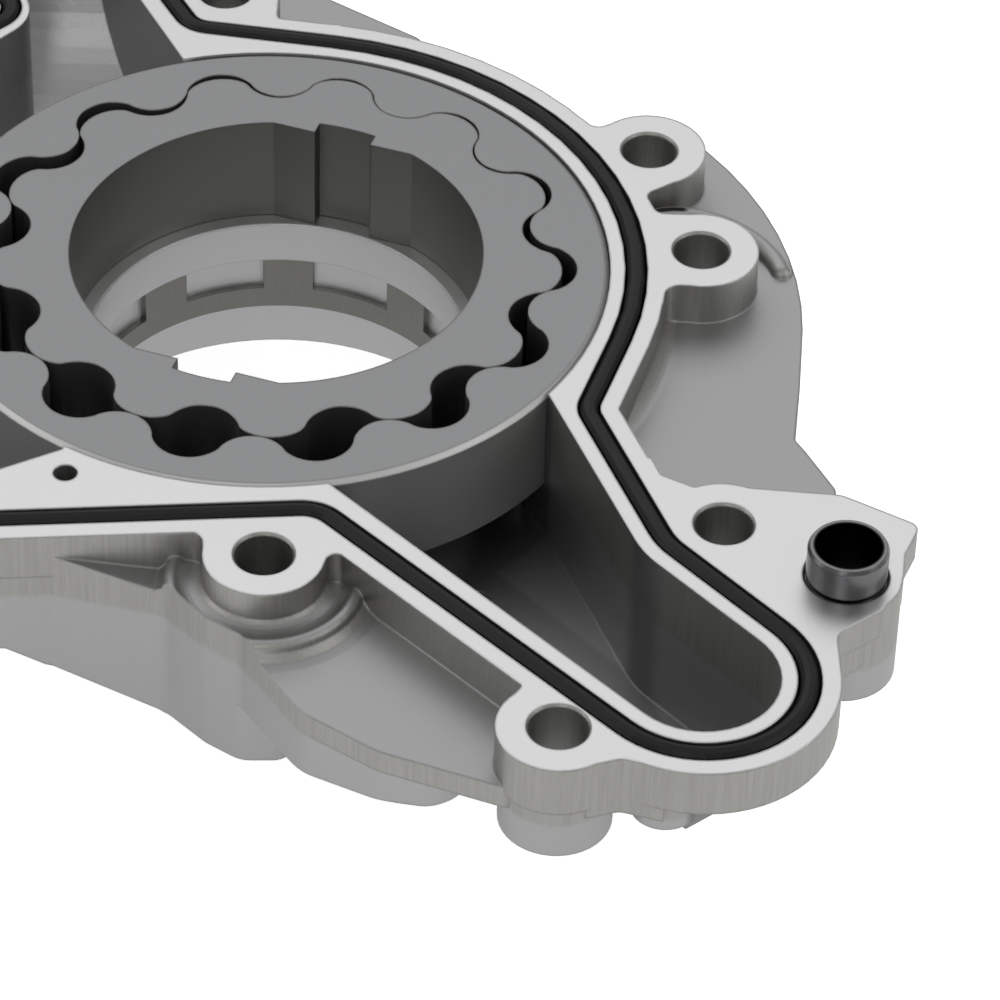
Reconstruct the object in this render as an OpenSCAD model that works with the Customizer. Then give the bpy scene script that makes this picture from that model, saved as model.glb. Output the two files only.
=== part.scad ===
// Crank-driven internal-rotor engine oil pump, rotor side up.
// The origin is on the crank axis at the mouth of the front seal bore, and +Z points to the sealing face.

/* [Housing] */
// Height from the mouth of the seal bore to the sealing face
body_h = 40; // [37:0.5:46]
// Depth of the lower tier below the sealing face
tier_drop = 6; // [4:0.5:7]
// Depth of the bolting flange below the sealing face
flange_h = 14; // [12:0.5:16]
// Height of the thin rim round the outlet end
rim_h = 6.4; // [5.5:0.1:8]
// Height of the ears that carry the bolts
ear_h = 8.5; // [7.5:0.5:11]
// Thickness of the walls and floors round the oil passages
wall = 3.2; // [2.5:0.1:4.5]
// Wall of the front snout round the seal bore
snout_wall = 6; // [4:0.5:9]
// Chamfer on the outer edge of the snout
snout_chamfer = 1.2; // [0.5:0.1:2.5]
// Thickness of the thin part of the front tier
tier_thin = 3.2; // [2.5:0.1:5]
// Thickness of the tab with the right dowel
tab_h = 4.3; // [3:0.1:6]
// Radius of the fillet at the foot of the rotors' wall
foot_r = 2.4; // [1:0.1:3]
// Radius of the rib's curve round the lower of the two close bolts
rib_r = 11.2; // [10.5:0.1:11.5]
// Half the width of that rib
rib_w = 1.4; // [1:0.1:1.8]
// Direction in which that rib ends
rib_end = 17; // [10:1:30]

/* [Rotors] */
// Radius at which the outer rotor's tooth arcs are centred
tooth_seat_r = 38.3; // [38:0.1:38.6]
// Wall of the outer rotor behind its pockets
rotor_rim = 4.1; // [3.5:0.1:5]
// Wall of the inner rotor between its bore and its valleys
rotor_hub = 5.3; // [4.8:0.1:6]
// Thickness of both rotors
rotor_h = 15.2; // [13:0.1:17]
// Number of lobes on the inner rotor
lobes = 13; // [13]
// Distance between the two rotor axes
eccentricity = 2.4; // [2.2:0.05:2.45]
// Direction from the outer rotor's axis to the crank axis
mesh_angle = 64.5; // [60:0.5:68]
// Radius of each outer rotor tooth
tooth_r = 4.5; // [4.3:0.1:4.8]
// Gap between the meshing profiles
mesh_gap = 0.07; // [0.05:0.01:0.1]
// Gap left beyond a lobe tip in the bottom of a pocket
root_gap = 0.3; // [0.28:0.02:0.5]
// Angle that each tooth's arc takes either side of its tip
tooth_angle = 65; // [63:0.5:66]
// Running gap round the outer rotor
rotor_gap = 0.08; // [0.05:0.01:0.1]
// Gap above and below the rotors
end_gap = 0.05; // [0.03:0.01:0.1]
// Chamfer on the rim of the outer rotor
rotor_chamfer = 0.6; // [0.3:0.1:1]
// How far each drive flat stands in from the bore
flat_depth = 1.8; // [1:0.1:2.2]
// How far the relief in each drive flat is cut beyond the bore
relief_depth = 0.4; // [0.2:0.1:1]
// Width of the relief in the middle of each drive flat
flat_relief_w = 7.6; // [6:0.2:10]
// Direction that the drive flats face
flat_angle = 72.5; // [60:0.5:90]

/* [Ports] */
// Depth of the oil passages below the sealing face
port_depth = 22; // [20.5:0.5:23]
// Half the width of the outlet passage
outlet_r = 9.3; // [8.5:0.1:10]
// Half the width of the inlet passage
inlet_r = 6.9; // [6.4:0.1:7.2]
// Radius of the outer wall of the suction chamber
suction_r = 57.5; // [56:0.5:58.5]
// Angle left between a port and the line of the rotor centres
port_seal_angle = 18; // [15:1:24]
// Reach of the outlet's sloped side across the passage
outlet_slope_w = 13; // [11:0.5:14]
// Radius of the curved ramp in the inlet
ramp_r = 22; // [20:0.5:26]

/* [Face seal] */
// Width of the seal groove
groove_w = 2.8; // [2.6:0.1:3.2]
// Depth of the seal groove
groove_h = 1.95; // [1.6:0.05:2.3]
// Thickness of the seal ring
seal_d = 2.4; // [2:0.1:2.5]
// Land between the passages and the groove
inner_land = 1.9; // [1.6:0.1:2.4]
// Land outside the groove
outer_land = 2.3; // [2:0.1:3]

/* [Bolts and dowels] */
// Radius of the bolt holes
bolt_hole_r = 3.5; // [3.3:0.1:3.6]
// Radius of the bolt bosses
boss_r = 7.3; // [6.8:0.1:7.8]
// How much slimmer the cast part of a boss is than its machined top
boss_step = 0.6; // [0.3:0.1:0.8]
// How far the bosses stand out below the flange
boss_foot = 0.2; // [0.1:0.1:1]
// Chamfer on the bolt holes
hole_chamfer = 0.3; // [0.2:0.05:0.6]
// Outer radius of the dowel sleeves
dowel_r = 4.85; // [4.7:0.05:5.2]
// Wall of the dowel sleeves
dowel_wall = 0.85; // [0.7:0.05:1.1]
// Length of the dowel sleeves
dowel_l = 13; // [11:0.5:15]
// Length of each dowel sleeve that stands out
dowel_out = 4.6; // [3.5:0.1:6]
// How much larger the sunk end of a dowel sleeve is
dowel_bite = 0.03; // [0.01:0.01:0.06]
// Width of the relief round a dowel sleeve at the mouth of its hole
relief_w = 0.75; // [0.6:0.05:1]
// Depth of that relief
relief_h = 0.3; // [0.2:0.05:0.4]
// How far the relief stands out of the sealing face
relief_out = 0.2; // [0.1:0.05:0.4]
// Chamfer on the free end of a dowel sleeve
dowel_chamfer = 0.5; // [0.3:0.1:0.8]
// Gap between two pieces that are pressed together
press_gap = 0.03; // [0.01:0.01:0.05]

/* [Crank bore] */
// How much smaller the bore under the rotors is than the inner rotor's bore
hub_step = 2; // [1.4:0.1:2.4]
// How much wider the castellated ring's bore is than the bore under the rotors
ring_step = 0.6; // [0.3:0.1:1]
// Wall of the castellated ring
ring_wall = 0.8; // [0.6:0.1:1.4]
// Height of the castellated ring
ring_h = 8.3; // [7:0.1:8.6]
// Height of the windows in the castellated ring
window_h = 5.2; // [4:0.1:6]
// Number of windows in the castellated ring
windows = 9; // [6:1:10]
// Share of each pitch that a window takes
window_share = 0.62; // [0.5:0.02:0.7]
// Direction of the middle of the first window
window_angle = 29.5; // [0:0.5:90]
// Width of the shoulder that the front seal stops against
seal_ledge = 4.6; // [3.5:0.1:6]
// Depth of the front seal bore
seal_bore_h = 10.4; // [8:0.1:11]

/* [Relief valve] */
// Radius of the valve bore
valve_r = 6.5; // [6:0.1:6.8]
// Radius of the chamber ahead of the piston's seat
valve_seat_r = 5; // [4.2:0.1:5.4]
// Radius of the valve barrel
barrel_r = 9.5; // [9:0.1:10]
// Length of the valve piston
piston_l = 12; // [10:0.5:13]
// Running gap round the piston
piston_gap = 0.03; // [0.02:0.01:0.05]
// Travel of the piston
piston_travel = 8; // [6:0.5:9]
// Wire diameter of the valve spring
spring_wire = 1.6; // [1.4:0.1:1.8]
// Coils in the valve spring
spring_coils = 5; // [4:1:6]
// Distance across the flats of the plug's head
plug_flats = 17; // [15:0.5:19]

/* [Hidden] */
$fn = 96;
// Levels above the mouth of the seal bore
face_z = body_h;
tier_z = face_z - tier_drop;
flange_z = face_z - flange_h;
rim_z = face_z - rim_h;
ear_z = face_z - ear_h;
pocket_z = face_z - rotor_h - 2 * end_gap;
port_z = face_z - port_depth;
base_z = port_z - wall;
// The outer rotor's axis
rotor_x = -eccentricity * cos(mesh_angle);
rotor_y = -eccentricity * sin(mesh_angle);
root_r = tooth_seat_r + 2 * eccentricity - tooth_r + root_gap;
outer_rotor_r = root_r + rotor_rim;
drive_bore_r = tooth_seat_r - eccentricity - tooth_r - mesh_gap - rotor_hub;
drive_flat = drive_bore_r - flat_depth;
flat_relief_r = drive_bore_r + relief_depth;
hub_bore_r = drive_bore_r - hub_step;
ring_bore_r = hub_bore_r + ring_step;
ring_r = ring_bore_r + ring_wall;
seal_bore_r = ring_r + seal_ledge;
snout_r = seal_bore_r + snout_wall;
pocket_r = outer_rotor_r + rotor_gap;
groove_off = inner_land + groove_w / 2;
skirt_off = groove_w / 2 + outer_land;
seal_path_r = pocket_r + groove_off;
skirt_r = seal_path_r + skirt_off;
// Centres of the passage ends
outlet_end = out(47.93, -53.58);
inlet_end = out(30.8, 117.11);
// Centres of the bolt holes, clockwise from the top
bolts = [out(13.85, 98.76), out(10.97, 27.51), out(11.66, 4.99), out(30.7, -39.5), out(47.67, -65.43),
         out(11.92, -87.26), out(29.61, -134.52), out(29.89, -160.94), out(28.96, 166.21),
         out(38.59, 130.43)];
dowel_right = out(47.06, -37.79);
dowel_left = out(31.97, 140.57);
// The valve's axis runs along X
valve_feed = out(3.83, -54.81);
valve_y = valve_feed[1];
valve_z = 11;
feed_x = valve_feed[0];
feed_r = 2.2;
valve_end_wall = 4;
valve_end_x = feed_x - valve_end_wall;
piston_x = feed_x + 4.5;
plug_x = feed_x + 25.5;
plug_thread_l = 6;
washer_h = 1;
washer_margin = 0.8;
plug_head_h = 5;
plug_socket_r = 3;
plug_socket_h = 2;
piston_floor = 3;
piston_wall = 1.6;
piston_groove_w = 0.5;
piston_groove_h = 0.3;
spring_gap = 0.05;
barrel_x = plug_x + plug_thread_l;

// A point at a radius and an angle about the outer rotor's axis
function at(r, a) = [rotor_x + r * cos(a), rotor_y + r * sin(a)];
// A point at a distance outside the rotor pocket and an angle, and the same with a corner radius
function out(d, a) = at(pocket_r + d, a);
function spot(d, a, r = 0) = concat(out(d, a), r);
// Points along an arc, each written as x, y and a corner radius of nothing
function arc(c, r, a0, a1, step = 6) =
    let (n = ceil(abs(a1 - a0) / step))
    [for (i = [0:n]) let (a = a0 + (a1 - a0) * i / n) [c[0] + r * cos(a), c[1] + r * sin(a), 0]];
function unit(v) = v / norm(v);
function turn(u, v) = u[0] * v[1] - u[1] * v[0];
// One corner of an outline, replaced by an arc of radius r
function corner(a, b, c, r) =
    let (u = unit(a - b), v = unit(c - b), half = acos(max(-1, min(1, u * v))) / 2)
    r < 0.05 || half > 89.5 ? [b] :
    let (reach = min(r / tan(half), norm(a - b) * 0.49, norm(c - b) * 0.49), q = reach * tan(half),
         m = b + unit(u + v) * q / sin(half), side = sign(turn(u, v)),
         start = b + u * reach - m, sweep = side * (180 - 2 * half), n = ceil(abs(sweep) / 9) + 1)
    [for (i = [0:n]) let (t = -sweep * i / n)
        m + [start[0] * cos(t) - start[1] * sin(t), start[0] * sin(t) + start[1] * cos(t)]];
function flat(p) = [p[0], p[1]];
function rounded(list) =
    let (n = len(list))
    [for (i = [0:n - 1]) each corner(flat(list[(i + n - 1) % n]), flat(list[i]), flat(list[(i + 1) % n]),
                                     list[i][2])];
// An outline moved outwards by d, corner by corner
function grow(list, d) =
    let (n = len(list))
    [for (i = [0:n - 1])
        let (a = flat(list[(i + n - 1) % n]), b = flat(list[i]), c = flat(list[(i + 1) % n]),
             u = unit(b - a), v = unit(c - b), k = [u[1] + v[1], -u[0] - v[0]],
             p = b + k * d / (1 + u * v), bend = turn(u, v))
        [p[0], p[1], list[i][2] == 0 ? 0 : max(0.4, list[i][2] + (bend > 0 ? d : -d))]];

// A path round circles like a belt round pulleys. Each circle is x, y, radius and sense: 1 is passed on
// its right-hand side, turning left, and -1 the other way
function heading(a, b) =
    atan2(b[1] - a[1], b[0] - a[0]) - asin((b[3] * b[2] - a[3] * a[2]) / norm([b[0] - a[0], b[1] - a[1]]));
function wrap(x) = x - 360 * floor(x / 360);
// Each arc of the path: centre, radius, sense, the heading it starts with and the angle it turns
function belt_arcs(list) =
    let (n = len(list))
    [for (i = [0:n - 1])
        let (c = list[i], into = heading(list[(i + n - 1) % n], c), out = heading(c, list[(i + 1) % n]))
        [[c[0], c[1]], c[2], c[3], into, wrap(c[3] * (out - into))]];
function belt_point(a, t) =
    let (h = a[3] + a[2] * t)
    a[0] + a[2] * a[1] * [sin(h), -cos(h)];
function belt(list, d = 0, step = 6) =
    [for (a = belt_arcs([for (c = list) [c[0], c[1], c[2] + d * c[3], c[3]]]))
        let (n = ceil(a[4] / step))
        for (i = [0:n]) belt_point(a, a[4] * i / max(n, 1))];

// The centre line of the seal ring, counter-clockwise from the pump's right side
seal_path = [
    [rotor_x, rotor_y, seal_path_r, 1],
    concat(out(10.23, 100.78), [4.2, -1]),
    [inlet_end[0], inlet_end[1], inlet_r + groove_off, 1],
    concat(at(suction_r + groove_off + 4.4, 128.7), [4, -1]),
    [rotor_x, rotor_y, suction_r + groove_off, 1],
    concat(out(11.31, -130.7), [9.6, 1]),
    concat(out(9, -82.46), [5, -1]),
    [outlet_end[0], outlet_end[1], outlet_r + groove_off, 1],
    concat(out(30.71, -37.51), [10, -1]),
    concat(out(9.02, -30.62), [4.2, -1])];

// The suction chamber and the inlet passage, as far as the ports under the rotors
inlet_path = concat(
    [spot(-0.02, 107.94)],
    arc(inlet_end, inlet_r, 27.5, 207.5, 9),
    [spot(16.37, 123.68, 6.5)],
    arc([rotor_x, rotor_y], suction_r, 137, 213, 5),
    [spot(16.59, -129.51, 5), spot(0.63, -121.08)],
    arc([rotor_x, rotor_y], 38, 235, 112, 8));

// The outlet passage, as far as the ports under the rotors
outlet_path = concat(
    [spot(0.24, -77.15)],
    arc(outlet_end, outlet_r, 225, 405, 9),
    [spot(27.49, -47.99, 13.3), spot(0.21, -34.36), spot(-5.92, -30.45), spot(-8.11, -85.02)]);

// The tier on the right and the tier in front, seen from above
right_tier = concat(
    [spot(-15.5, -40.29), spot(12.73, -42.68), spot(36.99, -40.34), spot(40.39, -31.68),
    spot(35.3, -25.17, 2), spot(29.22, -21.36, 1.5), spot(27.39, -20.2, 1.5),
     spot(25.46, -12.41, 8)],
    arc(out(-31.15, -7.39), 55.74, -1.7, 38.2, 5), [spot(13.66, 35.77), spot(-1.84, 41.2)]);
front_tier = [
    spot(11.14, -122.29), spot(20.22, -121.39), spot(14.8, -113.38), spot(13.83, -99.47, 4),
    spot(18.3, -93.89, 5), spot(21.05, -89.79, 4), spot(32.78, -83.92, 8), spot(40.12, -78.19, 10),
    spot(49.38, -69.73), spot(48.47, -63.37), spot(43.4, -58.62), spot(4.06, -76.47)];

module plate(list, z0, z1) {
    translate([0, 0, z0])
        linear_extrude(height = z1 - z0)
            polygon(rounded(list));
}

// A plate whose edge keeps a distance d outside the seal's centre line
module band(d, z0, z1) {
    translate([0, 0, z0])
        linear_extrude(height = z1 - z0)
            polygon(belt(seal_path, d));
}

module post(p, r, z0, z1) {
    translate([p[0], p[1], z0])
        cylinder(r = r, h = z1 - z0);
}

// A lug between a boss and a point inside the flange, wider at its root
module lug(p, q, r, z0, z1) {
    u = unit(q - p);
    s = [-u[1], u[0]];
    translate([0, 0, z0])
        linear_extrude(height = z1 - z0)
            polygon([p + s * (r - 0.2), q + s * (r + 4), q - s * (r + 4), p - s * (r - 0.2)]);
}

// The ears of the sealing face that carry the bolts
module ears(z0, z1) {
    b = bolts;
    r = boss_r - 0.15;
    // The two close together on the right
    plate([spot(2.47, -8.63), concat(at(skirt_r, -7), 0), [49.1, b[2][1] - r, 2],
           [b[2][0], b[2][1] - r, 0], [b[2][0], b[2][1] + r, 0], [47.9, b[2][1] + r, 1.5],
           spot(6.94, 18.49, 1.5), [b[1][0] + r * cos(57), b[1][1] - r * sin(57), 0],
           [b[1][0] - r * cos(57), b[1][1] + r * sin(57), 0], spot(7.12, 35.38, 2),
           concat(at(skirt_r, 38.5), 0), spot(0.65, 36.76)], z0, z1);
    // Beside the inlet
    plate([spot(6.09, 81.78), spot(7.18, 81.96), [b[0][0] + r, 47.9, 1.8], [b[0][0] + r, b[0][1], 0],
           [b[0][0], b[0][1] + r, 0], [-14.3, b[0][1] + r, 1.5], spot(26.37, 101.01), spot(21.92, 106.97),
           spot(4.37, 103.36)],
          z0, z1);
    // At the foot of the outlet passage
    plate([spot(36.63, -66.93), spot(39.74, -65.96, 1.3), [b[4][0] - r * cos(30), b[4][1] + r * sin(30), 0],
           [b[4][0] + r * cos(60), b[4][1] - r * sin(60), 0], spot(55.27, -62.75, 2), spot(58.87, -60.61),
           spot(49.99, -56.75)], z0, z1);
    // Under the rotors
    plate([spot(9.61, -100.9), spot(8.48, -95.42, 1.8), [b[5][0] - r, b[5][1] - 0.7, 0],
           [b[5][0] + 6.9, b[5][1] - 2.4, 0], spot(11.66, -79.01, 1.3), spot(14.78, -75.96),
           spot(4.06, -76.47)], z0, z1);
    // The tab with the right dowel
    side = outlet_end[0] + outlet_r + groove_off + skirt_off;
    plate([spot(54, -49.51), [side, -75.4, 0], spot(52.69, -43.1, 2.5),
           [dowel_right[0] + 4.3, dowel_right[1] - 5.8, 0], [dowel_right[0] + 6.8, dowel_right[1], 0],
           spot(50.57, -33.24, 2), spot(49.56, -29.87, 1.5), spot(38.95, -30.01, 4),
           spot(24.75, -36.07, 3), spot(22.68, -39.51, 2.2), spot(16.71, -36.23), spot(14.97, -40.67),
           spot(41.81, -53.04)], z1 - tab_h, z1);
    plate([spot(54, -49.51), [side, -75.4, 0], spot(52.69, -43.1, 2.5),
           [dowel_right[0] + 3.8, dowel_right[1] - 4.8, 0], [dowel_right[0] + 6, dowel_right[1], 0],
           spot(48.16, -33.1, 3), spot(40.49, -31.79, 4), spot(25.53, -36.94, 3), spot(18.22, -38.11),
           spot(14.97, -40.67), spot(41.81, -53.04)], z0, z1);
    lug(b[6], out(15.47, -134.4), boss_r, z0, z1);
    lug(b[7], out(9.03, -159.99), boss_r, z0, z1);
    lug(b[8], out(9.32, 166.57), boss_r, z0, z1);
    lug(b[9], out(25.84, 122.44), boss_r, z0, z1);
    lug(dowel_left, out(11.57, 138.56), boss_r + 1, z0, z1);
}

// The lower tier that stands out beyond the sealing face
module tiers(z0, z1) {
    plate(right_tier, z0, z1);
    plate([spot(8.51, 63.48), spot(14.91, 72.71, 3), spot(23.59, 89.97, 4), spot(20.18, 97.87),
           spot(5.34, 95.89)], z0, z1);
    plate(front_tier, z1 - tier_thin, z1);
}

// The cross-section of the outlet, measured across it from its left wall, set along the passage
module outlet_section(off) {
    left = outlet_end + outlet_r * [-cos(45), -sin(45)];
    drop = tier_z - port_z;
    translate([left[0], left[1], 0])
        rotate([0, 0, -45])
            rotate([90, 0, 90])
                translate([-off, -off, -90])
                    linear_extrude(height = 90 + 2 * outlet_r)
                        polygon([[0, port_z + drop], [0, face_z + 9], [70, face_z + 9], [70, port_z],
                                 [outlet_slope_w, port_z]]);
}

// The slope that closes the outlet's end, as the space above it
module outlet_nose(off) {
    tip = outlet_end + (outlet_r + off) * [cos(45), -sin(45)];
    translate([tip[0], tip[1], 0])
        rotate([0, 0, -45])
            rotate([90, 0, 0])
                translate([0, -off, -60])
                    linear_extrude(height = 120)
                        polygon([[0, tier_z + 2], [0, face_z + 9], [-120, face_z + 9], [-120, port_z],
                                 [-outlet_slope_w - 2, port_z]]);
}

module outlet_space(off, top) {
    intersection() {
        plate(grow(outlet_path, off), port_z - off, top);
        outlet_section(off);
        outlet_nose(off);
    }
}

// The space above the curved ramp in the inlet
module inlet_space() {
    intersection() {
        plate(inlet_path, port_z, face_z + 1);
        translate([-100, 0, 0])
            rotate([90, 0, 90])
                linear_extrude(height = 120)
                    polygon(concat([[-90, port_z]], [for (a = [-90:6:-6]) [44 + ramp_r * cos(a),
                    face_z + ramp_r * sin(a)]],
                                   [[90, face_z], [90, face_z + 2], [-90, face_z + 2]]));
    }
}

// The two ports sunk in the pocket floor under the rotors
module kidney(a0, a1) {
    outer = tooth_seat_r + 2 * eccentricity - tooth_r;
    inner = tooth_seat_r - eccentricity - tooth_r - 0.6;
    translate([rotor_x, rotor_y, port_z])
        rotate([0, 0, a0])
            rotate_extrude(angle = a1 - a0)
                translate([inner, 0])
                    square([outer - inner, pocket_z - port_z + 1]);
}

module bolt_hole(p, z0) {
    post(p, bolt_hole_r, z0 - boss_foot - 1, face_z + 1);
    translate([p[0], p[1], face_z - hole_chamfer])
        cylinder(r1 = bolt_hole_r, r2 = bolt_hole_r + hole_chamfer + 0.1, h = hole_chamfer + 0.1);
}

module dowel_hole(p) {
    post(p, bolt_hole_r, flange_z - boss_foot - 1, face_z + 1);
    hole_r = dowel_r + dowel_bite + press_gap;
    post(p, hole_r, face_z - (dowel_l - dowel_out), face_z + 1);
    translate([p[0], p[1], face_z - hole_chamfer])
        cylinder(r1 = hole_r, r2 = hole_r + hole_chamfer + 0.1, h = hole_chamfer + 0.1);
}

module along_valve(x) {
    translate([x, valve_y, valve_z])
        rotate([0, 90, 0])
            children();
}

// A fillet between an upright round wall of radius r and the floor outside it
module foot(r, f) {
    rotate_extrude(angle = 360)
        foot_profile(r, f);
}

module foot_profile(r, f) {
    polygon(concat([[r - 0.5, -0.5], [r + f, -0.5]],
                   [for (a = [270:-15:180]) [r + f + f * cos(a), f + f * sin(a)]], [[r - 0.5, f]]));
}

// What rises from the tiers: the rib and the raised floor between the two close bolts, the dished foot of the
// bolt under the rotors, the ramp beside it and the fillets
module feet() {
    b = bolts[2];
    slope = atan(0.2);
    intersection() {
        plate(right_tier, flange_z, face_z - 0.4);
        union() {
            translate([b[0], b[1], tier_z + 1.9])
                rotate([0, slope, 0])
                    rotate([0, 0, rib_end]) {
                        rotate_extrude(angle = 128 - rib_end)
                            translate([rib_r, 0])
                                circle(r = rib_w, $fn = 24);
                        translate([rib_r, 0, 0])
                            sphere(r = rib_w, $fn = 24);
                    }
            difference() {
                translate([b[0] - 12, b[1], tier_z + 2.6])
                    rotate([0, slope, 0])
                        translate([0, 0, -12])
                            cube([25, 30, 12]);
                post(b, rib_r, flange_z, face_z);
            }
            translate([rotor_x, rotor_y, tier_z])
                foot(skirt_r - 0.15, foot_r);
        }
    }
    intersection() {
        plate(front_tier, flange_z, face_z - 0.4);
        union() {
            translate([bolts[5][0], bolts[5][1], tier_z])
                rotate_extrude()
                    polygon(concat([[0, -5], [14.4, -5], [14.2, 0], [13, 0.3], [12.1, 1.1]],
                                   [for (a = [20:20:140]) [11.1 + 0.9 * cos(a), 1.4 + 0.9 * sin(a)]],
                                   [for (a = [300:-15:210]) [9.3 + 2.2 * cos(a) - 0.4, 3.6 + 2.2 * sin(a)]],
                                   [[boss_r - 0.4, 4.6], [0, 4.6]]));
            translate([-40, -45, tier_z])
                rotate([90, 0, 0])
                    linear_extrude(height = 25)
                        polygon([[0, -5], [0, 3.4], [17, 2.7], [26, 0.9], [31, 0], [31, -5]]);
        }
    }
}

// The wall in front, whose lower edge rises to the left and, past the bolt, to the right
module front_wall() {
    intersection() {
        plate([spot(12.75, -131.47), spot(20.22, -121.39), spot(14.8, -113.38), spot(13.83, -99.47, 4),
               spot(18.3, -93.89, 5), spot(21.05, -89.79, 4), spot(21, -84.96, 2.5), spot(13.48, -80.81),
               spot(0.7, -78.09)], base_z, tier_z);
        along_front([[0, tier_z], [0, base_z + 8], [10.4, base_z + 7.2], [15.1, base_z + 4.4], [29.5, base_z],
                     [70, base_z], [70, tier_z]]);
    }
    intersection() {
        plate([spot(6, -102.91), spot(13.83, -99.47, 4), spot(18.3, -93.89, 5), spot(21.05, -89.79, 4),
               spot(32.78, -83.92, 8), spot(39.53, -78.1, 10), spot(45.07, -72.41, 5), spot(36.08, -68.87),
               spot(0.7, -78.09)], base_z, tier_z);
        along_front([[20, tier_z], [20, tier_z - 10.8], [44.8, tier_z - 10], [58.7, tier_z - 8],
                     [64, tier_z - 7], [70, tier_z - 6.4], [70, tier_z]]);
    }
}

module along_front(side) {
    translate([-40, 0, 0])
        rotate([90, 0, 0])
            linear_extrude(height = 100)
                polygon(side);
}

module housing_outside() {
    band(skirt_off, rim_z, face_z);
    ears(ear_z, face_z);
    tiers(flange_z, tier_z);
    for (p = bolts) {
        post(p, boss_r, tier_z - 1, face_z);
        post(p, boss_r - boss_step, flange_z - boss_foot, face_z);
    }
    post(dowel_right, boss_r - boss_step, flange_z - boss_foot, face_z);
    // A small lump under the end of the outlet
    post(out(54.48, -59.01), 4, ear_z - 2.5, ear_z + 1);
    post(dowel_left, boss_r + 1, flange_z, face_z);
    post([rotor_x, rotor_y], skirt_r - outer_land, base_z - 0.8, tier_z);
    plate(grow(inlet_path, wall), base_z, tier_z);
    outlet_space(wall, tier_z);
    feet();
    // The front wall under the rotors, with the bolt pillar beside it
    front_wall();
    translate([0, 0, snout_chamfer])
        cylinder(r = snout_r, h = base_z + 1);
    cylinder(r1 = snout_r - snout_chamfer, r2 = snout_r, h = snout_chamfer);
    along_valve(valve_end_x - valve_end_wall)
        cylinder(r = barrel_r, h = barrel_x - valve_end_x + valve_end_wall);
    // The web between the valve barrel and the passage above it
    translate([valve_end_x - valve_end_wall, valve_y - barrel_r, valve_z])
        cube([barrel_x - valve_end_x + 1, 2 * barrel_r - 4, flange_z - valve_z + 1]);
}

module housing() color("silver") {
    difference() {
        housing_outside();
        post([rotor_x, rotor_y], pocket_r, pocket_z, face_z + 1);
        inlet_space();
        outlet_space(0, face_z + 1);
        kidney(mesh_angle + port_seal_angle, mesh_angle + 180 - port_seal_angle);
        kidney(mesh_angle + 180 + port_seal_angle, mesh_angle + 360 - port_seal_angle);
        // The seal groove
        difference() {
            band(groove_w / 2, face_z - groove_h, face_z + 1);
            band(-groove_w / 2, face_z - groove_h - 1, face_z + 2);
        }
        for (i = [0:len(bolts) - 1])
            bolt_hole(bolts[i], i == 5 ? base_z : flange_z);
        dowel_hole(dowel_right);
        dowel_hole(dowel_left);
        // The blind hole in the land under the rotors
        post(out(4.04, -117.65), 1.45, face_z - 5, face_z + 1);
        // The stepped bore for the crank
        translate([0, 0, -1])
            cylinder(r = hub_bore_r, h = face_z + 2);
        translate([0, 0, -1])
            cylinder(r = ring_r + press_gap, h = seal_bore_h + ring_h + 1);
        translate([0, 0, -1])
            cylinder(r = seal_bore_r, h = seal_bore_h + 1);
        // The relief valve
        along_valve(valve_end_x)
            cylinder(r = valve_seat_r, h = piston_x - valve_end_x + 1);
        along_valve(piston_x)
            cylinder(r = valve_r, h = barrel_x - piston_x + 1);
        post([feed_x, valve_y], feed_r, valve_z, port_z + 1);
        post([piston_x + 4.5, valve_y], feed_r, -1, valve_z);
    }
}

// The inner rotor's outline: circles of the tooth radius rolled round an epitrochoid. The steps close up in
// the valleys, where the outline turns fastest
function lobe_point(f) =
    let (n = lobes + 1, g = tooth_seat_r, e = eccentricity, t = (f + asin(n * e / g * sin(f))) / lobes,
         p = [g * cos(t) + e * cos(n * t), g * sin(t) + e * sin(n * t)],
         q = unit([g * cos(t) + n * e * cos(n * t), g * sin(t) + n * e * sin(n * t)]))
    p - q * (tooth_r + mesh_gap);

module inner_rotor() color([0.62, 0.63, 0.64]) {
    steps = 32;
    translate([0, 0, pocket_z + end_gap])
        difference() {
            rotate([0, 0, mesh_angle - 180 / lobes])
                linear_extrude(height = rotor_h)
                    polygon([for (i = [0:steps * lobes - 1]) lobe_point(360 * i / steps)]);
            intersection() {
                translate([0, 0, -1])
                    cylinder(r = drive_bore_r, h = rotor_h + 2);
                rotate([0, 0, flat_angle])
                    translate([-drive_flat, -60, -1])
                        cube([2 * drive_flat, 120, rotor_h + 2]);
            }
            intersection() {
                translate([0, 0, -1])
                    cylinder(r = flat_relief_r, h = rotor_h + 2);
                rotate([0, 0, flat_angle])
                    translate([-60, -flat_relief_w / 2, -1])
                        cube([120, flat_relief_w, rotor_h + 2]);
            }
        }
}

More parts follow.
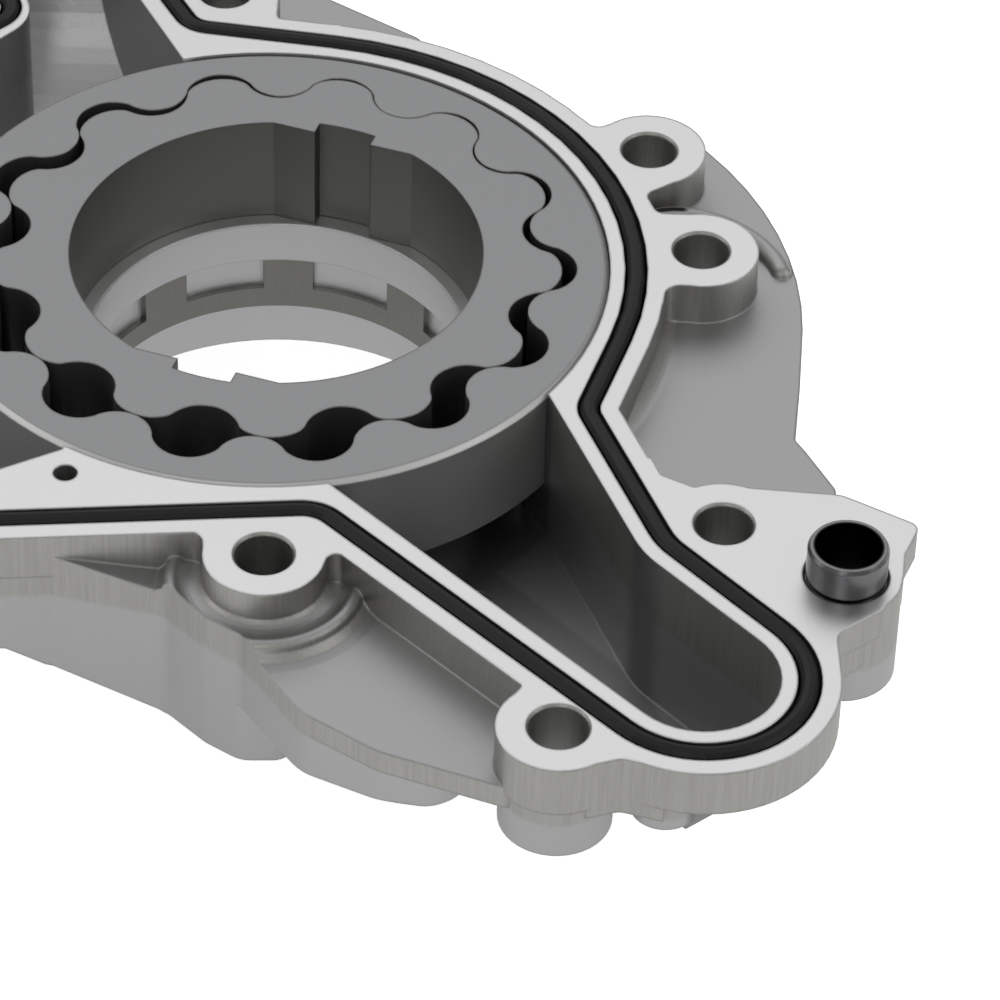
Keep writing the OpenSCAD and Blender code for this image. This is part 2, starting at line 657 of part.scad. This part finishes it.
// The outer rotor's teeth are arcs, and each pocket is an arc from tooth to tooth through its root
module outer_rotor() color([0.6, 0.61, 0.62]) {
    n = lobes + 1;
    foot = [tooth_seat_r - tooth_r * cos(tooth_angle), tooth_r * sin(tooth_angle)] * turn_by(-0.5, n);
    rise = root_r - foot[0];
    pocket = (foot[1] * foot[1] + rise * rise) / (2 * rise);
    half = atan2(-foot[1], foot[0] - root_r + pocket);
    inside = [for (i = [0:n - 1]) each concat(
        [for (s = [-6:6])
            let (a = 180 - tooth_angle * s / 6)
            [tooth_seat_r + tooth_r * cos(a), tooth_r * sin(a)] * turn_by(i, n)],
        [for (s = [-7:7])
            let (a = half * s / 8)
            [root_r - pocket + pocket * cos(a), pocket * sin(a)] * turn_by(i + 0.5, n)])];
    translate([rotor_x, rotor_y, pocket_z + end_gap])
        difference() {
            union() {
                translate([0, 0, rotor_chamfer])
                    cylinder(r = outer_rotor_r, h = rotor_h - 2 * rotor_chamfer);
                cylinder(r1 = outer_rotor_r - rotor_chamfer, r2 = outer_rotor_r, h = rotor_chamfer);
                translate([0, 0, rotor_h - rotor_chamfer])
                    cylinder(r1 = outer_rotor_r, r2 = outer_rotor_r - rotor_chamfer, h = rotor_chamfer);
            }
            rotate([0, 0, mesh_angle])
                translate([0, 0, -1])
                    linear_extrude(height = rotor_h + 2)
                        polygon(inside);
        }
}

// The matrix that turns a point written on the left by one of n equal steps
function turn_by(i, n) =
    let (a = 360 * i / n)
    [[cos(a), sin(a)], [-sin(a), cos(a)]];

// The seal ring, a round section carried along its centre line
module face_seal() color([0.05, 0.05, 0.05]) {
    path = belt(seal_path, 0, 8);
    n = len(path);
    sides = 12;
    rings = [for (i = [0:n - 1])
        let (u = unit(path[(i + 1) % n] - path[(i + n - 1) % n]))
        each [for (j = [0:sides - 1])
            let (a = 360 * j / sides, w = seal_d / 2 * cos(a))
            [path[i][0] + u[1] * w, path[i][1] - u[0] * w, seal_d / 2 * sin(a)]]];
    translate([0, 0, face_z - groove_h + seal_d / 2])
        polyhedron(points = rings,
                   faces = [for (i = [0:n - 1]) each [for (j = [0:sides - 1])
                       let (a = i * sides, b = ((i + 1) % n) * sides, k = (j + 1) % sides)
                       each [[a + j, a + k, b + k], [a + j, b + k, b + j]]]]);
}

// The pressed ring with windows round its inner end
module castellated_ring() color([0.42, 0.42, 0.38]) {
    pitch = 360 / windows;
    open = pitch * window_share;
    translate([0, 0, seal_bore_h])
        difference() {
            cylinder(r = ring_r, h = ring_h);
            translate([0, 0, -1])
                cylinder(r = ring_bore_r, h = ring_h + 2);
            for (i = [0:windows - 1])
                rotate([0, 0, window_angle + i * pitch - open / 2])
                    rotate_extrude(angle = open)
                        translate([ring_bore_r - 2, ring_h - window_h])
                            square([ring_r - ring_bore_r + 4, window_h + 1]);
        }
}

// The sunk end is a little larger than the free end
module dowel_sleeve(p) {
    relief_z = dowel_l - dowel_out + relief_out - relief_w;
    translate([p[0], p[1], face_z - (dowel_l - dowel_out)])
        difference() {
            union() {
                cylinder(r = dowel_r + dowel_bite, h = relief_z);
                cylinder(r = dowel_r - relief_h, h = dowel_l - dowel_chamfer);
                translate([0, 0, relief_z + relief_w])
                    cylinder(r = dowel_r, h = dowel_l - dowel_chamfer - relief_z - relief_w);
                translate([0, 0, dowel_l - dowel_chamfer])
                    cylinder(r1 = dowel_r, r2 = dowel_r - dowel_chamfer * 0.6, h = dowel_chamfer);
            }
            translate([0, 0, -1])
                cylinder(r = dowel_r - dowel_wall, h = dowel_l + 2);
        }
}

module dowel_sleeve_right() color([0.5, 0.5, 0.5]) dowel_sleeve(dowel_right);

module dowel_sleeve_left() color([0.5, 0.5, 0.5]) dowel_sleeve(dowel_left);

// A cup-shaped piston that opens towards the spring
module relief_piston() color([0.55, 0.55, 0.55]) {
    along_valve(piston_x)
        difference() {
            cylinder(r = valve_r - piston_gap, h = piston_l);
            translate([0, 0, piston_floor])
                cylinder(r = valve_r - piston_wall, h = piston_l);
            for (z = [4:3:piston_l - 2])
                translate([0, 0, z])
                    difference() {
                        cylinder(r = valve_r + 1, h = piston_groove_w);
                        translate([0, 0, -1])
                            cylinder(r = valve_r - piston_groove_h, h = piston_groove_w + 2);
                    }
        }
}

// The spring stands between the piston's floor and the plug
module relief_spring() color([0.35, 0.35, 0.36]) {
    r = valve_r - piston_wall - 0.4 - spring_wire / 2;
    length = plug_x - piston_x - piston_floor - 2 * spring_gap - spring_wire;
    per_turn = 16;
    sides = 8;
    n = spring_coils * per_turn;
    rings = [for (i = [0:n]) let (a = 360 * i / per_turn, x = length * i / n)
        each [for (j = [0:sides - 1]) let (b = 360 * j / sides, w = r + spring_wire / 2 * cos(b))
            [w * cos(a), w * sin(a), x + spring_wire / 2 * sin(b)]]];
    along_valve(piston_x + piston_floor + spring_gap + spring_wire / 2)
        polyhedron(points = rings, faces = concat(
            [[for (j = [0:sides - 1]) j]],
            [for (i = [0:n - 1]) each [for (j = [0:sides - 1]) let (l = (j + 1) % sides)
                each [[i * sides + j, (i + 1) * sides + j, (i + 1) * sides + l],
                      [i * sides + j, (i + 1) * sides + l, i * sides + l]]]],
            [[for (j = [sides - 1:-1:0]) n * sides + j]]));
}

module relief_plug() color([0.6, 0.6, 0.58]) {
    along_valve(plug_x)
        cylinder(r = valve_r - press_gap, h = plug_thread_l + washer_h);
    along_valve(plug_x + plug_thread_l + washer_h)
        difference() {
            cylinder(r = plug_flats / 2 / cos(30), h = plug_head_h, $fn = 6);
            translate([0, 0, plug_head_h - plug_socket_h])
                cylinder(r = plug_socket_r, h = plug_socket_h + 1);
        }
}

module relief_plug_washer() color([0.72, 0.45, 0.3]) {
    along_valve(barrel_x)
        difference() {
            cylinder(r = barrel_r - washer_margin, h = washer_h);
            translate([0, 0, -1])
                cylinder(r = valve_r + 0.1, h = washer_h + 2);
        }
}

housing();
outer_rotor();
inner_rotor();
face_seal();
castellated_ring();
dowel_sleeve_right();
dowel_sleeve_left();
relief_piston();
relief_spring();
relief_plug();
relief_plug_washer();
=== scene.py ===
import bpy
import math
from mathutils import Matrix, Vector

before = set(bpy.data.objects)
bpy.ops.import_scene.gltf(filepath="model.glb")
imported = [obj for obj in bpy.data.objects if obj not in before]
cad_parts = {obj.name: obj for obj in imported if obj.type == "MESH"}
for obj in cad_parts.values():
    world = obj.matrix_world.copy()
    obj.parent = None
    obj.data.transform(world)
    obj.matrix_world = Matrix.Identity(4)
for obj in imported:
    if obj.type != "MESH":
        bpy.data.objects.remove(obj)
print("frame loaded")
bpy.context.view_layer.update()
millimetre = 0.001

# What a user would change, one dictionary for each piece. Lengths are in millimetres.
# A region of the housing is what lies to the left of all its lines.
view = {"place": (29.17, -520.4, 460.6), "right": (0.99944, 0.02230, 0.02514),
        "down": (0.0336, -0.6632, -0.7477), "lens": 191.35, "sensor": 36.0}
rotorAxis = (-1.03, -2.17)
floorLook = {"size": 6000.0, "tone": 0.85, "seen": 0.8, "mirrored": 0.3}
worldLook = {"top": 0.5, "horizon": 0.3}
housingLook = {
    # Painted reflection: the seat colour makes the ring seat and the seal bore light, standing in for light
    # from the floor below.
    "face": (0.60, 0.60, 0.605), "wall": (0.44, 0.44, 0.445), "band": (0.39, 0.385, 0.367),
    # Painted shade: the passage colour makes the outlet passage and the pockets under the rotors darker than
    # the rest of the housing.
    "tier": (0.36, 0.36, 0.365), "passage": (0.28, 0.28, 0.285), "seat": (0.75, 0.75, 0.76),
    # Painted highlight: the chamber colour makes the suction chamber and the inlet lighter than the walls.
    "chamberTone": (0.52, 0.52, 0.53), "groove": (0.012, 0.012, 0.012), "grooveFloor": 38.05,
    # Painted shadow: the groove colour makes the floor of the seal groove near black.
    "faceHeight": 40.0, "tierHeight": 34.0, "underside": 17.0, "seatRadius": 31.5,
    "pocketRadius": 43.4, "chamberRadius": 57.5,
    "outlet": [((8.6, -44.4), (46.4, -82.0)), ((59.6, -68.8), (46.2, -54.6)), ((46.2, -54.6), (34.7, -26.6)),
               ((53.0, -88.6), (66.2, -75.4)), ((20.0, 20.0), (-40.0, -40.0))],
    "inlet": [((-14.3, 38.8), (-28.6, 66.8)), ((-40.8, 60.4), (-34.0, 47.3)), ((-30.7, 73.3), (-44.9, 66.1)),
              ((-60.0, 20.0), (20.0, 20.0))],
    "maskEdge": (-1.6, -0.4), "bandStreaks": (0.82, 1.18),
    "chamber": [((-23.6, -39.6), (-14.3, 38.8)), ((-60.0, -43.5), (0.0, -43.5))],
}
# The side colour is a painted highlight: the outer side of the outer rotor is coloured much lighter than its
# top.
rotorLook = {"top": (0.256, 0.259, 0.263), "side": (0.62, 0.62, 0.61), "bore": (0.17, 0.17, 0.157),
             "boreRadius": 28.0, "pocket": (0.30, 0.30, 0.295), "sideRadius": 42.4}
sealLook = {"tone": (0.006, 0.006, 0.0065), "roughness": 0.4, "shine": 0.25}
ringLook = {"tone": (0.29, 0.286, 0.266)}
# The dowel bore colour is painted shade: it makes the inside of the sleeves' holes near black.
dowelLook = {"tone": (0.17, 0.17, 0.175), "bore": (0.02, 0.02, 0.02), "boreRadius": 4.2,
             "places": ((70.201, -57.401), (-59.002, 45.501))}
plugLook = {"tone": (0.40, 0.395, 0.375)}
washerLook = {"tone": (0.62, 0.60, 0.57)}
lights = [
    {"name": "back", "place": (-100.0, 900.0, 1000.0), "aim": (0.0, 0.0, 30.0), "size": (1500.0, 900.0),
     "power": 4.0},
    {"name": "left", "place": (-900.0, -100.0, 500.0), "aim": (0.0, 0.0, 30.0), "size": (500.0, 700.0),
     "power": 1.5},
    {"name": "right", "place": (900.0, -300.0, 600.0), "aim": (0.0, 0.0, 30.0), "size": (400.0, 700.0),
     "power": 1.5},
    {"name": "front", "place": (-150.0, -800.0, 620.0), "aim": (20.0, -40.0, 30.0), "size": (160.0, 500.0),
     "power": 0.9},
]


class Value:  # a number or a vector that comes out of a shader node, with arithmetic
    def __init__(self, tree, socket):
        self.tree = tree
        self.socket = socket

    def maths(self, operation, *others):
        node = self.tree.nodes.new("ShaderNodeMath")
        node.operation = operation
        for place, value in enumerate((self,) + others):
            feed(self.tree, node.inputs[place], value)
        return Value(self.tree, node.outputs[0])

    def __add__(self, other):
        return self.maths("ADD", other)

    def __sub__(self, other):
        return self.maths("SUBTRACT", other)

    def __rsub__(self, other):
        return (self * -1.0).maths("ADD", other)

    def __mul__(self, other):
        return self.maths("MULTIPLY", other)

    def root(self):
        return self.maths("SQRT")

    def least(self, other):
        return self.maths("MINIMUM", other)

    def most(self, other):
        return self.maths("MAXIMUM", other)

    __radd__ = __add__


def feed(tree, socket, value):
    if isinstance(value, Value):
        tree.links.new(value.socket, socket)
    else:
        socket.default_value = value


class Shader:  # one material's nodes
    def __init__(self, name):
        self.material = bpy.data.materials.new(name)
        self.material.use_nodes = True
        self.tree = self.material.node_tree
        self.tree.nodes.clear()
        self.surface = self.make("ShaderNodeBsdfPrincipled")
        out = self.make("ShaderNodeOutputMaterial")
        self.tree.links.new(self.surface.outputs[0], out.inputs["Surface"])

    def make(self, kind, settings=None, inputs=None):
        node = self.tree.nodes.new(kind)
        for key, value in (settings or {}).items():
            setattr(node, key, value)
        for key, value in (inputs or {}).items():
            feed(self.tree, node.inputs[key], value)
        return node

    def out(self, kind, settings=None, inputs=None, output=0):
        return Value(self.tree, self.make(kind, settings, inputs).outputs[output])

    def split(self, vector):
        node = self.make("ShaderNodeSeparateXYZ", inputs={0: vector})
        return [Value(self.tree, socket) for socket in node.outputs]

    def position(self):  # in millimetres of the object at rest
        place = self.out("ShaderNodeTexCoord", output="Object")
        return self.out("ShaderNodeVectorMath", {"operation": "SCALE"},
                        {0: place, "Scale": 1.0 / millimetre})

    def up(self):  # 1 on a surface that faces up, 0 on a wall
        return self.split(self.out("ShaderNodeNewGeometry", output="Normal"))[2]

    def between(self, value, low, high):  # 0 below low, 1 above high
        return self.out("ShaderNodeMapRange", {"interpolation_type": "SMOOTHSTEP"},
                        {"Value": value, "From Min": low, "From Max": high})

    def noise(self, vector, scale, detail=2.0, roughness=0.5):
        return self.out("ShaderNodeTexNoise", inputs={"Vector": vector, "Scale": scale, "Detail": detail,
                                                      "Roughness": roughness})

    def stretched(self, vector, factors):
        return self.out("ShaderNodeVectorMath", {"operation": "MULTIPLY"}, {0: vector, 1: factors})

    def mix(self, factor, low, high):
        node = self.make("ShaderNodeMix", {"data_type": "RGBA", "clamp_factor": True})
        feed(self.tree, node.inputs["Factor"], factor)
        for key, value in ((6, low), (7, high)):
            feed(self.tree, node.inputs[key], value if isinstance(value, Value) else tuple(value) + (1.0,))
        return Value(self.tree, node.outputs[2])

    def relief(self, height, strength, distance, edge):
        soft = self.out("ShaderNodeBevel", {"samples": 6}, {"Radius": edge * millimetre})
        return self.out("ShaderNodeBump", inputs={"Strength": strength, "Distance": distance * millimetre,
                                                  "Height": height, "Normal": soft})

    def finish(self, inputs):
        for key, value in inputs.items():
            feed(self.tree, self.surface.inputs[key], value)
        return self.material


def distanceFrom(x, y, centre):
    return ((x - centre[0]) * (x - centre[0]) + (y - centre[1]) * (y - centre[1])).root()


def alongLine(x, y, start, end):  # how far a point lies to the left of the line from start to end
    length = math.dist(start, end)
    across = ((start[1] - end[1]) / length, (end[0] - start[0]) / length)
    return (x - start[0]) * across[0] + (y - start[1]) * across[1]


def within(x, y, lines):  # how far a point lies inside the space to the left of all the lines
    depth = alongLine(x, y, *lines[0])
    for start, end in lines[1:]:
        depth = depth.least(alongLine(x, y, start, end))
    return depth


def housingMaterial():
    s = Shader("housing")
    place = s.position()
    x, y, z = s.split(place)
    look = housingLook
    upward = s.between(s.up(), 0.9, 0.97)
    top = s.between(z, look["faceHeight"] - 0.12, look["faceHeight"] - 0.02) * upward
    grain = s.noise(place, 6.0, 3.0)
    fine = s.noise(s.stretched(place, (1.0, 1.0, 0.12)), 5.0, 3.0)
    streaks = s.noise(s.stretched(place, (1.0, 1.0, 0.05)), 2.2, 3.0, 0.6)
    band = s.between(z, look["tierHeight"] - 4.0, look["tierHeight"] - 3.0) * (1.0 - upward)
    fromAxis = distanceFrom(x, y, rotorAxis)
    below = s.between(z, look["underside"] - 0.5, look["underside"])
    # Painted shade: the outlet passage and the pockets under the rotors are coloured darker than the rest of
    # the housing.
    outlet = within(x, y, look["outlet"]).most(look["pocketRadius"] - fromAxis)
    outlet = s.between(outlet, *look["maskEdge"]) * below
    # Painted highlight: the suction chamber and the inlet are coloured lighter than the walls.
    sector = (look["chamberRadius"] - fromAxis).least(within(x, y, look["chamber"]))
    chamber = sector.most(within(x, y, look["inlet"])).least(fromAxis - look["pocketRadius"])
    chamber = s.between(chamber, *look["maskEdge"]) * below
    # Painted reflection: the ring seat and the seal bore are coloured light, standing in for light from the
    # floor below.
    seat = s.between(look["seatRadius"] - distanceFrom(x, y, (0.0, 0.0)), -0.5, 0.5)
    dark, light = [[value * factor for value in look["band"]] for factor in look["bandStreaks"]]
    machined = s.mix(streaks, dark, light)
    colour = s.mix(band, look["wall"], machined)
    colour = s.mix(upward, colour, look["tier"])
    colour = s.mix(outlet, colour, look["passage"])
    colour = s.mix(chamber, colour, look["chamberTone"])
    # Painted shadow: the floor of the seal groove is coloured near black.
    groove = upward * s.between(z, look["grooveFloor"] - 0.5, look["grooveFloor"] - 0.3)
    colour = s.mix(groove, colour, look["groove"])
    colour = s.mix(seat, colour, look["seat"])
    colour = s.mix(top, colour, look["face"])
    roughness = 0.46 + (grain - 0.5) * 0.1 - top * 0.08
    height = (streaks - 0.5) * (1.0 - upward) + (fine - 0.5) * 0.3
    return s.finish({"Base Color": colour, "Metallic": 1.0, "Roughness": roughness,
                     "Normal": s.relief(height, 0.2, 0.2, 0.5)})


def rotorMaterial():
    s = Shader("rotor")
    place = s.position()
    x, y = s.split(place)[:2]
    upward = s.between(s.up(), 0.95, 0.99)
    bore = s.between(rotorLook["boreRadius"] - distanceFrom(x, y, (0.0, 0.0)), -0.5, 0.5)
    grain = s.noise(place, 8.0, 3.0)
    specks = s.noise(place, 3.0, 4.0, 0.7)
    # Painted highlight: the outer side of the outer rotor is coloured lighter.
    outside = s.between(distanceFrom(x, y, rotorAxis) - rotorLook["sideRadius"], -0.2, 0.2)
    wall = s.mix(outside, s.mix(bore, rotorLook["pocket"], rotorLook["bore"]), rotorLook["side"])
    colour = s.mix(upward, wall, rotorLook["top"])
    roughness = 0.42 + outside * 0.1 + (grain - 0.5) * 0.12
    return s.finish({"Base Color": colour, "Metallic": 1.0, "Roughness": roughness,
                     "Normal": s.relief(grain + specks, 0.1, 0.1, 0.4)})


def sealMaterial():
    s = Shader("seal")
    grain = s.noise(s.position(), 4.0, 2.0)
    tone = s.mix(grain, sealLook["tone"], [value * 1.8 for value in sealLook["tone"]])
    return s.finish({"Base Color": tone, "Metallic": 0.0, "Roughness": sealLook["roughness"] + grain * 0.08,
                     "Specular IOR Level": sealLook["shine"]})


def steelMaterial(name, tone, stretch, roughness=0.34, shadedBores=None):
    s = Shader(name)
    place = s.position()
    streaks = s.noise(s.stretched(place, stretch), 6.0, 3.0, 0.6)
    colour = s.mix(streaks, [value * 0.85 for value in tone], [value * 1.12 for value in tone])
    # Painted shade: the holes at the listed places are coloured near black.
    for centre in (shadedBores or {}).get("places", ()):
        x, y = s.split(place)[:2]
        inside = s.between(shadedBores["boreRadius"] - distanceFrom(x, y, centre), -0.1, 0.1)
        colour = s.mix(inside, colour, shadedBores["bore"])
    return s.finish({"Base Color": colour, "Metallic": 1.0, "Roughness": roughness + (streaks - 0.5) * 0.1,
                     "Normal": s.relief(streaks, 0.15, 0.1, 0.2)})


def setMaterial(names, material):
    for name in names:
        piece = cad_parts[name]
        piece.data.materials.clear()
        piece.data.materials.append(material)


setMaterial(["housing"], housingMaterial())
setMaterial(["outer_rotor", "inner_rotor"], rotorMaterial())
setMaterial(["face_seal"], sealMaterial())
setMaterial(["castellated_ring"], steelMaterial("ring", ringLook["tone"], (1.0, 1.0, 0.06), 0.38))
setMaterial(["dowel_sleeve_right", "dowel_sleeve_left", "relief_piston"],
            steelMaterial("dowel", dowelLook["tone"], (1.0, 1.0, 0.08), 0.26, dowelLook))
setMaterial(["relief_spring", "relief_plug"], steelMaterial("plug", plugLook["tone"], (1.0, 1.0, 1.0)))
setMaterial(["relief_plug_washer"], steelMaterial("washer", washerLook["tone"], (1.0, 1.0, 1.0)))
print("materials done")


def makeFloor():
    half = floorLook["size"] * millimetre / 2
    mesh = bpy.data.meshes.new("floor")
    corners = [(-half, -half, 0), (half, -half, 0), (half, half, 0), (-half, half, 0)]
    mesh.from_pydata(corners, [], [(0, 1, 2, 3)])
    floor = bpy.data.objects.new("floor", mesh)
    bpy.context.scene.collection.objects.link(floor)
    s = Shader("floor")
    paths = s.make("ShaderNodeLightPath")
    camera = Value(s.tree, paths.outputs["Is Camera Ray"])
    glossy = Value(s.tree, paths.outputs["Is Glossy Ray"])
    glow = camera * floorLook["seen"] + glossy * floorLook["mirrored"]
    s.finish({"Base Color": [floorLook["tone"]] * 3 + [1.0], "Roughness": 1.0, "Specular IOR Level": 0.0,
              "Emission Color": (1.0, 1.0, 1.0, 1.0), "Emission Strength": glow})
    floor.data.materials.append(s.material)


def makeWorld():
    world = bpy.data.worlds.new("studio")
    bpy.context.scene.world = world
    world.use_nodes = True
    tree = world.node_tree
    background = tree.nodes["Background"]
    coordinates = tree.nodes.new("ShaderNodeTexCoord")
    split = tree.nodes.new("ShaderNodeSeparateXYZ")
    ramp = tree.nodes.new("ShaderNodeMapRange")
    tree.links.new(coordinates.outputs["Generated"], split.inputs[0])
    tree.links.new(split.outputs[2], ramp.inputs["Value"])
    ramp.inputs["To Min"].default_value = worldLook["horizon"]
    ramp.inputs["To Max"].default_value = worldLook["top"]
    background.inputs[0].default_value = (1.0, 1.0, 1.0, 1.0)
    tree.links.new(ramp.outputs[0], background.inputs[1])


def makeLights():
    for light in lights:
        data = bpy.data.lights.new(light["name"], "AREA")
        data.shape = "RECTANGLE"
        data.size = light["size"][0] * millimetre
        data.size_y = light["size"][1] * millimetre
        data.energy = light["power"]
        lamp = bpy.data.objects.new(light["name"], data)
        lamp.location = Vector(light["place"]) * millimetre
        aim = Vector(light["aim"]) * millimetre - lamp.location
        lamp.rotation_euler = aim.to_track_quat("-Z", "Y").to_euler()
        bpy.context.scene.collection.objects.link(lamp)


def makeCamera():
    data = bpy.data.cameras.new("camera")
    data.lens = view["lens"]
    data.sensor_width = view["sensor"]
    data.clip_start = 0.01
    data.clip_end = 20.0
    camera = bpy.data.objects.new("camera", data)
    right = Vector(view["right"]).normalized()
    upward = -Vector(view["down"]).normalized()
    back = right.cross(upward)
    camera.matrix_world = Matrix.Translation(Vector(view["place"]) * millimetre) @ Matrix(
        (right, upward, back)).transposed().to_4x4()
    bpy.context.scene.collection.objects.link(camera)
    bpy.context.scene.camera = camera


makeFloor()
makeWorld()
makeLights()
makeCamera()
print("stage done")

bpy.context.scene.view_settings.view_transform = "Standard"
bpy.context.scene.view_settings.look = "None"
